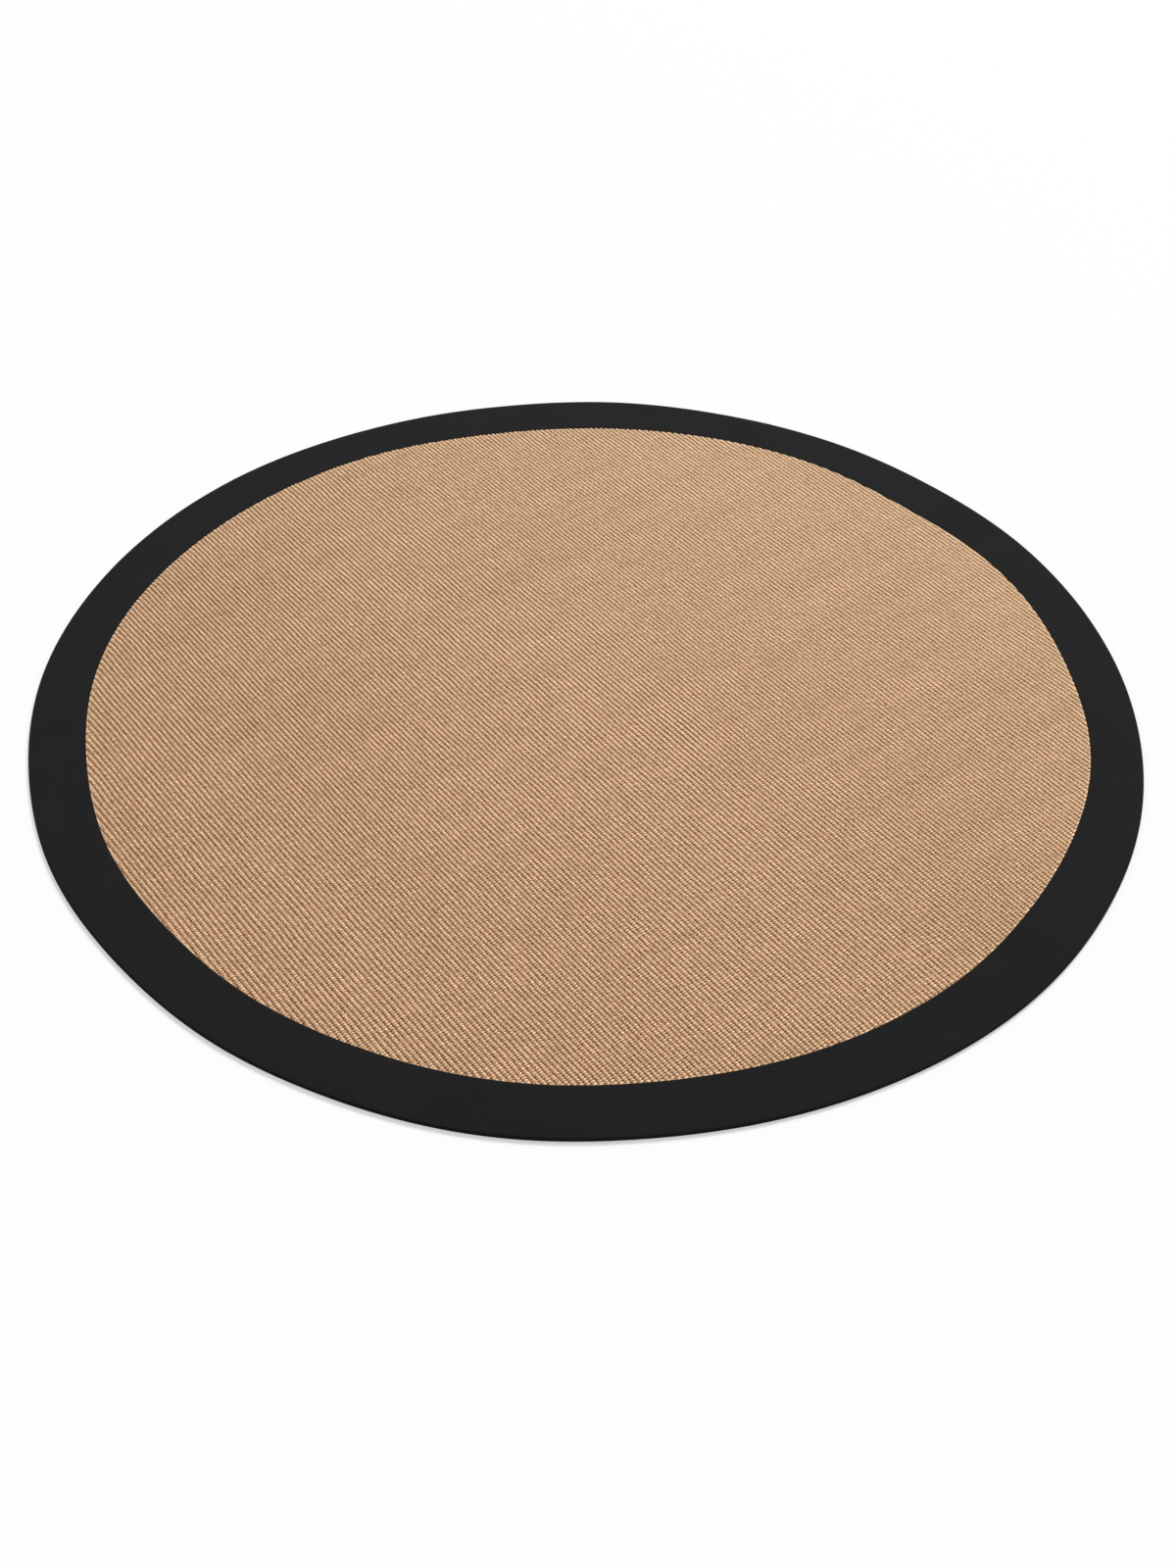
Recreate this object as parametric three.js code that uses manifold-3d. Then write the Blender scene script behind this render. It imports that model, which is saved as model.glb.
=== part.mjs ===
// A round ribbed sisal rug with a black cotton tape folded round its rim.
// Millimetres, +Z up. The rug lies on z = 0, with the middle of its underside at the origin and its
// ribs along +Y.
import * as THREE from "three";
import { mergeVertices } from "three/addons/utils/BufferGeometryUtils.js";
import Module from "manifold-3d";

const wasm = await Module();
wasm.setup();

// Driving dimensions: the rug and its tape, seen from above
const RUG_RADIUS = 750;
const TAPE_ON_FACE = 75;
const TAPE_TURNED_UNDER = 38;

// Driving dimensions: heights and thicknesses
const TAPE_THICKNESS = 1.2;
const TAPE_TOP = 6.0;
const TAPE_EDGE_ROUNDING = 0.9;
const RIB_CREST = 6.4;
const RIB_SHOULDER = 6.0;
const RIB_VALLEY = 4.6;
const PARTING = 0.3; // left between the tape and the sisal

// Driving dimensions: the ribs, one row of yarn loops each
const RIB_PITCH = 6.68;
const SHOULDER_REACH = 0.25; // of the pitch, from the crest

// How finely round things are cut. An arc of a profile gets twice this many straight steps.
const SECTORS = 180;
const OUTER_FOLD_FINENESS = 3;
const INNER_FOLD_FINENESS = 2;
const EDGE_FINENESS = 1;

// The rim and the seam aren't quite round: the tape was pulled in or let out here and there as it was
// sewn on. Each pull is greatest at atDeg, counted from +X towards +Y, and fades to nothing reachDeg
// to either side. Outward is positive, at the rug's rim and at the tape's inner edge, the seam.
const TAPE_PULLS = [
  { atDeg: 7, reachDeg: 14, rim: -2.0, seam: -4.0 },
  { atDeg: 27, reachDeg: 22, rim: 2.0, seam: 4.0 },
  { atDeg: 49, reachDeg: 16, rim: 3.0, seam: -1.0 },
  { atDeg: 65, reachDeg: 22, rim: -2.0, seam: -6.5 },
  { atDeg: 83, reachDeg: 16, rim: -1.5, seam: 0.5 },
  { atDeg: 104, reachDeg: 28, rim: 3.0, seam: 1.5 },
  { atDeg: 131, reachDeg: 26, rim: 1.5, seam: 4.5 },
  { atDeg: 158, reachDeg: 20, rim: -3.0, seam: -3.0 },
  { atDeg: 183, reachDeg: 18, rim: -3.5, seam: -4.0 },
  { atDeg: 204, reachDeg: 16, rim: 1.0, seam: 0.0 },
  { atDeg: 223, reachDeg: 18, rim: 3.5, seam: 2.0 },
  { atDeg: 243, reachDeg: 18, rim: -1.0, seam: -2.0 },
  { atDeg: 276, reachDeg: 20, rim: 2.5, seam: -0.5 },
  { atDeg: 289, reachDeg: 18, rim: 0.0, seam: -4.0 },
  { atDeg: 314, reachDeg: 16, rim: -1.0, seam: 4.0 },
  { atDeg: 330, reachDeg: 26, rim: -3.0, seam: 0.5 },
  { atDeg: 347, reachDeg: 18, rim: -0.5, seam: 4.0 },
];

// Worked out from the above: where the tape's two edges lie, and how it and the sisal nest at the rim
const SEAM_RADIUS = RUG_RADIUS - TAPE_ON_FACE;
const UNDER_RADIUS = RUG_RADIUS - TAPE_TURNED_UNDER;
const FOLD_RADIUS = TAPE_TOP / 2;
const FOLD_INNER_RADIUS = FOLD_RADIUS - TAPE_THICKNESS;
const FLANGE_RADIUS = FOLD_INNER_RADIUS - PARTING;
const FOLD_AXIS = RUG_RADIUS - FOLD_RADIUS;
const FLANGE_BOTTOM = FOLD_RADIUS - FLANGE_RADIUS;
const FLANGE_TOP = FOLD_RADIUS + FLANGE_RADIUS;
const QUARTER_TURN = Math.PI / 2;

// Shape of a pull: 1 where it is made, falling softly to 0 at its reach
function softFall(distance, reach) {
  return distance < reach ? 0.5 * (1 + Math.cos((Math.PI * distance) / reach)) : 0;
}

// How far the pulls move the rim or the seam outwards, at an angle in degrees
function pulledBy(angleDeg, edge) {
  let moved = 0;
  for (const pull of TAPE_PULLS) {
    const apart = Math.abs(THREE.MathUtils.euclideanModulo(angleDeg - pull.atDeg + 180, 360) - 180);
    moved += pull[edge] * softFall(apart, pull.reachDeg);
  }
  return moved;
}

// Where a point at this radius of a truly round rug lies on the pulled one. Inside the seam the pulls
// fade out towards the middle of the rug, and from the seam to the rim one gives way to the other.
function pulledRadius(radius, angleDeg) {
  const seam = pulledBy(angleDeg, "seam");
  const rim = pulledBy(angleDeg, "rim");
  if (radius <= SEAM_RADIUS) {
    return radius + seam * (radius / SEAM_RADIUS) ** 2;
  }
  const across = (radius - SEAM_RADIUS) / TAPE_ON_FACE;
  return radius + THREE.MathUtils.lerp(seam, rim, Math.min(across, 1));
}

// Lays every point of a round geometry on the pulled outline
function pullToOutline(geometry) {
  const points = geometry.getAttribute("position");
  for (let i = 0; i < points.count; i++) {
    const x = points.getX(i);
    const y = points.getY(i);
    const radius = Math.hypot(x, y);
    if (radius > 0) {
      const stretch = pulledRadius(radius, THREE.MathUtils.radToDeg(Math.atan2(y, x))) / radius;
      points.setXY(i, x * stretch, y * stretch);
    }
  }
  return geometry;
}

// A profile of radius and height, turned round the rug's upright axis and then pulled to the outline
function turned(profile) {
  const geometry = new THREE.LatheGeometry(profile, SECTORS);
  geometry.rotateX(QUARTER_TURN);
  return pullToOutline(geometry);
}

function toSolid(geometry) {
  const bare = geometry.clone();
  bare.deleteAttribute("normal");
  bare.deleteAttribute("uv");
  const merged = mergeVertices(bare, 1e-4);
  return new wasm.Manifold(
    new wasm.Mesh({
      numProp: 3,
      vertProperties: new Float32Array(merged.getAttribute("position").array),
      triVerts: new Uint32Array(merged.index.array),
    }),
  );
}

function toGeometry(solid) {
  const mesh = solid.getMesh();
  const geometry = new THREE.BufferGeometry();
  geometry.setAttribute("position", new THREE.BufferAttribute(mesh.vertProperties, 3));
  geometry.setIndex(new THREE.BufferAttribute(mesh.triVerts, 1));
  geometry.computeVertexNormals();
  return geometry;
}

// The sisal cloth without its ribs: latex back, and the flange that runs under the tape to the rim
function clothGround() {
  const profile = new THREE.Path();
  profile.moveTo(0, 0);
  profile.lineTo(UNDER_RADIUS - PARTING, 0);
  profile.lineTo(UNDER_RADIUS - PARTING, FLANGE_BOTTOM);
  profile.lineTo(FOLD_AXIS, FLANGE_BOTTOM);
  profile.absarc(FOLD_AXIS, FOLD_RADIUS, FLANGE_RADIUS, -QUARTER_TURN, QUARTER_TURN, false);
  profile.lineTo(0, FLANGE_TOP);
  return toSolid(turned(profile.getPoints(INNER_FOLD_FINENESS)));
}

// A slab whose top is the ribs, wide enough to cover the whole field
function ribbedSlab() {
  const ribsEachSide = Math.ceil(RUG_RADIUS / RIB_PITCH);
  const halfWidth = ribsEachSide * RIB_PITCH;
  const section = new THREE.Shape();
  section.moveTo(-halfWidth, FLANGE_BOTTOM);
  section.lineTo(halfWidth, FLANGE_BOTTOM);
  section.lineTo(halfWidth, RIB_VALLEY);
  for (let rib = ribsEachSide - 1; rib >= -ribsEachSide; rib--) {
    const crestX = (rib + 0.5) * RIB_PITCH;
    section.lineTo(crestX + SHOULDER_REACH * RIB_PITCH, RIB_SHOULDER);
    section.lineTo(crestX, RIB_CREST);
    section.lineTo(crestX - SHOULDER_REACH * RIB_PITCH, RIB_SHOULDER);
    section.lineTo(rib * RIB_PITCH, RIB_VALLEY);
  }
  const slab = new THREE.ExtrudeGeometry(section, {
    depth: 2 * RUG_RADIUS,
    bevelEnabled: false,
    steps: 1,
  });
  slab.translate(0, 0, -RUG_RADIUS);
  slab.rotateX(QUARTER_TURN);
  return toSolid(slab);
}

// Everything inside the seam, as a plug that cuts the ribs to length
function insideSeam() {
  const radius = SEAM_RADIUS - PARTING;
  const height = 2 * RIB_CREST;
  const profile = [
    new THREE.Vector2(0, 0),
    new THREE.Vector2(radius, 0),
    new THREE.Vector2(radius, height),
    new THREE.Vector2(0, height),
  ];
  return toSolid(turned(profile));
}

function sisalField() {
  const ribs = ribbedSlab().intersect(insideSeam());
  return toGeometry(clothGround().add(ribs));
}

// The tape's section: over the face, round the rim and back under, with a rounded edge at the seam
function cottonBorder() {
  const outside = new THREE.Path();
  outside.moveTo(UNDER_RADIUS, 0);
  outside.lineTo(FOLD_AXIS, 0);
  outside.absarc(FOLD_AXIS, FOLD_RADIUS, FOLD_RADIUS, -QUARTER_TURN, QUARTER_TURN, false);
  const outerSkin = outside.getPoints(OUTER_FOLD_FINENESS);

  const edge = new THREE.Path();
  edge.absarc(
    SEAM_RADIUS + TAPE_EDGE_ROUNDING,
    TAPE_TOP - TAPE_EDGE_ROUNDING,
    TAPE_EDGE_ROUNDING,
    QUARTER_TURN,
    2 * QUARTER_TURN,
    false,
  );
  const seamEdge = edge.getPoints(EDGE_FINENESS);

  const inside = new THREE.Path();
  inside.moveTo(SEAM_RADIUS, TAPE_TOP - TAPE_THICKNESS);
  inside.lineTo(FOLD_AXIS, TAPE_TOP - TAPE_THICKNESS);
  inside.absarc(FOLD_AXIS, FOLD_RADIUS, FOLD_INNER_RADIUS, QUARTER_TURN, -QUARTER_TURN, true);
  inside.lineTo(UNDER_RADIUS, TAPE_THICKNESS);
  inside.lineTo(UNDER_RADIUS, 0);
  const innerSkin = inside.getPoints(INNER_FOLD_FINENESS);

  return toGeometry(toSolid(turned([...outerSkin, ...seamEdge, ...innerSkin])));
}

const sisal = new THREE.MeshStandardMaterial({ color: 0xbd9a79, roughness: 0.95, metalness: 0 });
const blackCotton = new THREE.MeshStandardMaterial({ color: 0x242425, roughness: 0.9, metalness: 0 });

const field = new THREE.Mesh(sisalField(), sisal);
field.name = "sisal_field";

const border = new THREE.Mesh(cottonBorder(), blackCotton);
border.name = "cotton_border";

const rug = new THREE.Group();
rug.name = "round_sisal_rug";
rug.add(field, border);

export default rug;
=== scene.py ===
import math

import bpy
import numpy as np
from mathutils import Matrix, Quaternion, Vector


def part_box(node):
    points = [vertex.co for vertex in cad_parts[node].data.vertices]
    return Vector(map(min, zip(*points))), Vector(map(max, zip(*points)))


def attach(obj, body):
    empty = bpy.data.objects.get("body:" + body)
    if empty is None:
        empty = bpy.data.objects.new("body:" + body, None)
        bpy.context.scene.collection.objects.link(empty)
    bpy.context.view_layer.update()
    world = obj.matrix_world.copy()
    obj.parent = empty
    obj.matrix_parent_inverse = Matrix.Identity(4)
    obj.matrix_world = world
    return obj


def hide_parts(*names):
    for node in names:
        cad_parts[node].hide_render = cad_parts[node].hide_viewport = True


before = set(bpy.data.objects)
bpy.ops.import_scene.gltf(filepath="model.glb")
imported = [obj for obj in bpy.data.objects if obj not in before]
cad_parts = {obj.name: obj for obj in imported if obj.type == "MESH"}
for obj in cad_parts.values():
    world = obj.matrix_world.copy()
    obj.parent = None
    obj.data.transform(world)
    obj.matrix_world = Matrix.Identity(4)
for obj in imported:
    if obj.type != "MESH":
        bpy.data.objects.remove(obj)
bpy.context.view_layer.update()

MM = 0.001
BODY = "root"
rng = np.random.default_rng(1703)

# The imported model's own measures, in millimetres
CAD_SECTORS = 180
TAPE_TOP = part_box("cotton_border")[1].z / MM

# The tape, as cut in the solids
SEAM_RADIUS = 675.0
RUG_RADIUS = 750.0
UNDER_RADIUS = 712.0
TAPE_THICKNESS = 1.2
FOLD_RADIUS = TAPE_TOP / 2
FOLD_AXIS = RUG_RADIUS - FOLD_RADIUS
TAPE_BOTTOM = TAPE_TOP - TAPE_THICKNESS
PARTING = 0.3  # left between the tape's turned-under edge and the cloth
HEIGHT_SLACK = 0.1  # where points are told apart by their height

# The cloth: latex back, ground and ribs, one rib to each row of yarn loops
LATEX_THICKNESS = 0.9
GROUND_TOP = 2.6
FLANGE_TOP = 4.5
FLANGE_RADIUS = 1.5
RIB_PITCH = 6.68
LOOP_LENGTH = 4.05
TUCKED_IN = 2.2  # how far the loops run on under the tape
TUCKED_TOP = 4.65  # their height there, just under the tape
SEAM_PRESS_START = 0.9  # under the tape, from where the loops rise to full height
SEAM_PRESS_LENGTH = 4.0  # and how much farther in they reach it
BAND_COUNT = 6
BAND_BOTTOM = 2.65  # just above the ground, so that the two don't share a plane

# One loop's section across its rib: how far across the pitch each column of points stands, how far it
# leans along the rib, as a share of the loop, and its height at the loop's middle and at its joints
LOOP_SECTION = [
    {"across": 0.00, "lean": 0.00, "middle": 4.00, "joint": 3.60},
    {"across": 0.25, "lean": -0.10, "middle": 5.80, "joint": 4.60},
    {"across": 0.50, "lean": 0.00, "middle": 6.55, "joint": 5.05},
    {"across": 0.75, "lean": 0.10, "middle": 5.80, "joint": 4.45},
]
GAP_STEEPER = 1.4  # than the mesh's own slope, for a rib's side down in the gap to the next
JOINT_STEEPER = 1.7  # the same, for a loop's end at its joint with the next

# The ribs aren't evenly spaced: how much finer than the mean they are at some places across the rug
RIB_SPACING = [
    {"place": -675, "finer": -0.01},
    {"place": -580, "finer": -0.01},
    {"place": -500, "finer": -0.03},
    {"place": -400, "finer": 0.05},
    {"place": -280, "finer": 0.04},
    {"place": -180, "finer": 0.00},
    {"place": -60, "finer": -0.04},
    {"place": 20, "finer": -0.05},
    {"place": 120, "finer": 0.01},
    {"place": 180, "finer": 0.035},
    {"place": 300, "finer": 0.03},
    {"place": 400, "finer": -0.02},
    {"place": 540, "finer": -0.03},
    {"place": 675, "finer": 0.00},
]

# How the loops stray from an even grid. Each row is a soft noise: its size and the width and length of
# its cells.
STRAYING = {
    "sideways_together": {"by": 0.9, "across": 70.0, "along": 45.0},
    "sideways_alone": {"by": 0.3, "across": RIB_PITCH, "along": 22.0},
    "along_together": {"by": 1.6, "across": 90.0, "along": 120.0},
    "along_alone": {"by": 0.5, "across": RIB_PITCH, "along": 30.0},
    "height_together": {"by": 0.12, "across": 60.0, "along": 60.0},
    "height_alone": {"by": 0.12, "across": RIB_PITCH, "along": 12.0},
}

# How far each loop's middle and each joint stray at most by themselves
LOOP_SPREAD = {"sideways": 0.25, "along": 0.35, "height": 0.22}
PIT_SHARE = 0.35  # of the places where four loops meet
PIT_DEPTH = 0.7

# How a band of ribs is mapped: the millimetres left free round each part of its bake map, how small its
# bottom lies on it, and where in a rib and a loop the bottom's colour is taken, clear of gap and joint
BAKE_MARGIN = 5.0
BOTTOM_SHRINK = 0.1
BOTTOM_PLACE = 0.25
NO_LENGTH = 1e-9  # keeps a side of no length from being divided by


def soft_step(x):
    return x * x * (3 - 2 * x)


def soft_noise(across, along, cell_across, cell_along):
    """Smooth random values from -1 to 1 over points in millimetres, one draw to each cell's corner."""
    i = (across - across.min()) / cell_across
    j = (along - along.min()) / cell_along
    corners = rng.uniform(-1, 1, (int(i.max()) + 2, int(j.max()) + 2))
    i_low = i.astype(int)
    j_low = j.astype(int)
    i_share = soft_step(i - i_low)
    j_share = soft_step(j - j_low)
    low = corners[i_low, j_low] * (1 - i_share) + corners[i_low + 1, j_low] * i_share
    high = corners[i_low, j_low + 1] * (1 - i_share) + corners[i_low + 1, j_low + 1] * i_share
    return low * (1 - j_share) + high * j_share


def strayed(name, across, along):
    row = STRAYING[name]
    return row["by"] * soft_noise(across, along, row["across"], row["along"])


def spaced(across):
    """Where a rib lies that would stand at this place across the rug if all were evenly spaced."""
    places = np.array([row["place"] for row in RIB_SPACING], float)
    finer = np.array([row["finer"] for row in RIB_SPACING])
    samples = round(2 * SEAM_RADIUS) + 1  # one to a millimetre
    x = np.linspace(-SEAM_RADIUS, SEAM_RADIUS, samples)
    density = 1 + np.interp(x, places, finer)
    even = np.concatenate([[0], np.cumsum((density[1:] + density[:-1]) / 2)])
    even = SEAM_RADIUS * (2 * even / even[-1] - 1)
    shift = np.interp(across, even, x - even, left=0, right=0)
    return across + shift


def round_angles(count):
    """So many angles, in radians, evenly spaced from +X towards +Y and on round."""
    return np.arange(count) * 2 * math.pi / count


def cad_edge(low, high, reach):
    """Radius of an edge of the solids' tape at each of their sectors: of the points between two heights,
    the innermost (np.minimum) or outermost (np.maximum)."""
    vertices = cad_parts["cotton_border"].data.vertices
    points = np.empty(len(vertices) * 3, np.float32)
    vertices.foreach_get("co", points)
    x, y, z = points.reshape(-1, 3).T / MM
    chosen = (z > low) & (z < high)
    turn = np.arctan2(y, x)[chosen] / (2 * math.pi)
    sector = np.round(turn * CAD_SECTORS).astype(int) % CAD_SECTORS
    radii = np.full(CAD_SECTORS, np.inf if reach is np.minimum else 0.0)
    reach.at(radii, sector, np.hypot(x, y)[chosen])
    return radii


sector_angles = round_angles(CAD_SECTORS)
seam_radii = cad_edge(TAPE_BOTTOM - HEIGHT_SLACK, TAPE_TOP, np.minimum)
rim_radii = cad_edge(0, TAPE_TOP, np.maximum)


def at_angle(radii, angle):
    return np.interp(angle, sector_angles, radii, period=2 * math.pi)


def pulled(radius, angle):
    """Where a point at this radius of a truly round rug lies on the one in the solids."""
    seam = at_angle(seam_radii, angle) - SEAM_RADIUS
    rim = at_angle(rim_radii, angle) - RUG_RADIUS
    inside = radius + seam * (np.minimum(radius, SEAM_RADIUS) / SEAM_RADIUS) ** 2
    across = np.clip((radius - SEAM_RADIUS) / (RUG_RADIUS - SEAM_RADIUS), 0, 1)
    return np.where(radius <= SEAM_RADIUS, inside, radius + seam + (rim - seam) * across)


def new_piece(name, points, corners, face_sizes, maps, material, slot=None):
    """A smooth mesh object from points in millimetres. corners lists every face's points one face after
    another, face_sizes says how many each face has, and maps gives each UV map's places, one a corner."""
    mesh = bpy.data.meshes.new(name)
    mesh.vertices.add(len(points))
    mesh.vertices.foreach_set("co", (np.asarray(points) * MM).astype(np.float32).ravel())
    mesh.loops.add(len(corners))
    mesh.loops.foreach_set("vertex_index", np.asarray(corners, np.int32))
    starts = np.concatenate([[0], np.cumsum(face_sizes)[:-1]])
    mesh.polygons.add(len(face_sizes))
    mesh.polygons.foreach_set("loop_start", starts.astype(np.int32))
    mesh.update(calc_edges=True)
    for map_name, places in maps.items():
        layer = mesh.uv_layers.new(name=map_name)
        layer.uv.foreach_set("vector", np.asarray(places, np.float32).ravel())
    mesh.shade_smooth()
    mesh.materials.append(material)
    piece = bpy.data.objects.new(name, mesh)
    bpy.context.scene.collection.objects.link(piece)
    if slot:
        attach(piece, BODY)
    return piece


# Materials

# The mix node has sockets of the same names for each kind of data. These are the numbers of the ones for
# colours.
MIX_COLOUR_A = 6
MIX_COLOUR_B = 7
MIX_COLOUR_RESULT = 2

# Noises that lie still in space: how many cells to a metre, and how far they are broken up
CLOUDS = {
    "rosy_sisal": {"scale": 3.0, "detail": 2.0},
    "cotton_dye": {"scale": 9.0, "detail": 3.0},
    "jute_grain": {"scale": 420.0, "detail": 3.0},
    "latex_clouds": {"scale": 14.0, "detail": 4.0},
    "latex_pores": {"scale": 900.0, "detail": 2.0},
    "paper_grain": {"scale": 2.0, "detail": 2.0},
}


class Shading:
    """A material and short calls for the kinds of node that this script uses."""

    def __init__(self, name, finish):
        self.material = bpy.data.materials.new(name)
        self.material.use_nodes = True
        self.tree = self.material.node_tree
        self.surface = self.tree.nodes["Principled BSDF"]
        for socket, value in finish.items():
            self.surface.inputs[socket].default_value = value

    def node(self, kind, inputs=(), **settings):
        node = self.tree.nodes.new(kind)
        for key, value in settings.items():
            setattr(node, key, value)
        for key, value in dict(inputs).items():
            self.feed(node.inputs[key], value)
        return node

    def feed(self, socket, value):
        if isinstance(value, bpy.types.NodeSocket):
            self.tree.links.new(value, socket)
        else:
            socket.default_value = value

    def math(self, operation, *values):
        node = self.node("ShaderNodeMath", dict(enumerate(values)), operation=operation)
        return node.outputs["Value"]

    def plus(self, a, b):
        return self.math("ADD", a, b)

    def minus(self, a, b):
        return self.math("SUBTRACT", a, b)

    def times(self, a, b):
        return self.math("MULTIPLY", a, b)

    def over(self, a, b):
        return self.math("DIVIDE", a, b)

    def sine(self, value, rate):
        return self.math("SINE", self.times(value, rate))

    def floor(self, value):
        return self.math("FLOOR", value)

    def size_of(self, value):
        return self.math("ABSOLUTE", value)

    def off_centre(self, place):
        """How far a place counted in ribs or loops is from the middle of its own: -0.5 to 0.5."""
        return self.minus(self.math("FRACT", place), 0.5)

    def vector(self, x, y, z=0.0):
        return self.node("ShaderNodeCombineXYZ", {"X": x, "Y": y, "Z": z}).outputs["Vector"]

    def parts(self, vector):
        """A vector's x, y and z."""
        split = self.node("ShaderNodeSeparateXYZ", {"Vector": vector})
        return split.outputs["X"], split.outputs["Y"], split.outputs["Z"]

    def length(self, vector):
        node = self.node("ShaderNodeVectorMath", {0: vector}, operation="LENGTH")
        return node.outputs["Value"]

    def place(self, map_name):
        """The two places that a UV map gives."""
        read = self.node("ShaderNodeUVMap", uv_map=map_name)
        return self.parts(read.outputs["UV"])[:2]

    def position(self):
        """The place in space, in metres."""
        return self.node("ShaderNodeTexCoord").outputs["Object"]

    def noise(self, vector, scale=1.0, detail=2.0):
        inputs = {"Vector": vector, "Scale": scale, "Detail": detail}
        return self.node("ShaderNodeTexNoise", inputs).outputs["Fac"]

    def cloud(self, name):
        return self.noise(self.position(), **CLOUDS[name])

    def dice(self, x, y):
        """A random value from 0 to 1 for each whole x and y."""
        cell = self.vector(self.floor(x), self.floor(y))
        node = self.node("ShaderNodeTexWhiteNoise", {"Vector": cell}, noise_dimensions="2D")
        return node.outputs["Value"]

    def ramp(self, source, row):
        """A value that goes from first to last while its source goes from start to end."""
        inputs = {
            "Value": source,
            "From Min": row["start"],
            "From Max": row["end"],
            "To Min": row["first"],
            "To Max": row["last"],
        }
        return self.node("ShaderNodeMapRange", inputs, clamp=True).outputs["Result"]

    def mix(self, share, colour_a, colour_b):
        """The first colour with a share of the second."""
        inputs = {"Factor": share, MIX_COLOUR_A: colour_a, MIX_COLOUR_B: colour_b}
        return self.node("ShaderNodeMix", inputs, data_type="RGBA").outputs[MIX_COLOUR_RESULT]

    def dimmed(self, colour, *tones):
        """A colour made darker or lighter by each tone in turn."""
        if isinstance(colour, tuple):
            colour = colour[:3]
        for tone in tones:
            node = self.node("ShaderNodeVectorMath", {0: colour, "Scale": tone}, operation="SCALE")
            colour = node.outputs["Vector"]
        return colour

    def paint(self, colour):
        self.feed(self.surface.inputs["Base Color"], colour)

    def bump(self, height_mm):
        inputs = {"Strength": 1.0, "Distance": MM, "Height": height_mm}
        self.feed(self.surface.inputs["Normal"], self.node("ShaderNodeBump", inputs).outputs["Normal"])


# Sisal: straw yarn, some of it rosier, with pale and umber tufts. Pale is in part painted highlight.
# Umber is in part painted shade between the loops, and the near black is painted shade in the pits.
STRAW = (0.755, 0.530, 0.322, 1)
ROSY = (0.66, 0.389, 0.232, 1)
PALE_HIGHLIGHT = (0.98, 0.742, 0.495, 1)
UMBER = (0.290, 0.106, 0.031, 1)
PIT_SHADE = (0.06, 0.020, 0.005, 1)

SISAL_FINISH = {
    "Roughness": 0.7,
    "Specular IOR Level": 0.12,
    "Sheen Weight": 0.05,
    "Sheen Roughness": 0.4,
}

PLIES = 3  # turns of the yarn to a loop
STRAND_SLANT = 0.65  # how far a strand runs along the rib, in loops, while it crosses it once
SISAL_RELIEF = {"ply": 0.10, "fibre": 0.7, "clump": 0.45}  # heights, as for the other reliefs

# The noises that the loops' looks follow: how many cells to a rib's width and to a loop's length, how far
# they are broken up, and the depth at which each is read, which keeps like ones apart
SISAL_NOISES = {
    "stretch": {"to_rib": 1.0, "to_loop": 0.07, "detail": 2.0, "depth": 0.0},
    "row": {"to_rib": 0.03, "to_loop": 1.0, "detail": 2.0, "depth": 0.0},
    "patch": {"to_rib": 0.02, "to_loop": 0.12, "detail": 3.0, "depth": 3.0},
    "fibre": {"to_rib": 1.5, "to_loop": 9.0, "detail": 3.0, "depth": 0.0},
    "clump": {"to_rib": 4.4, "to_loop": 2.8, "detail": 0.0, "depth": 0.0},
    "rosy_stretch": {"to_rib": 1.0, "to_loop": 0.13, "detail": 2.0, "depth": 7.0},
    "gap": {"to_rib": 1.0, "to_loop": 0.5, "detail": 1.0, "depth": 11.0},
    "joint": {"to_rib": 0.9, "to_loop": 0.9, "detail": 1.0, "depth": 13.0},
}
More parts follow.
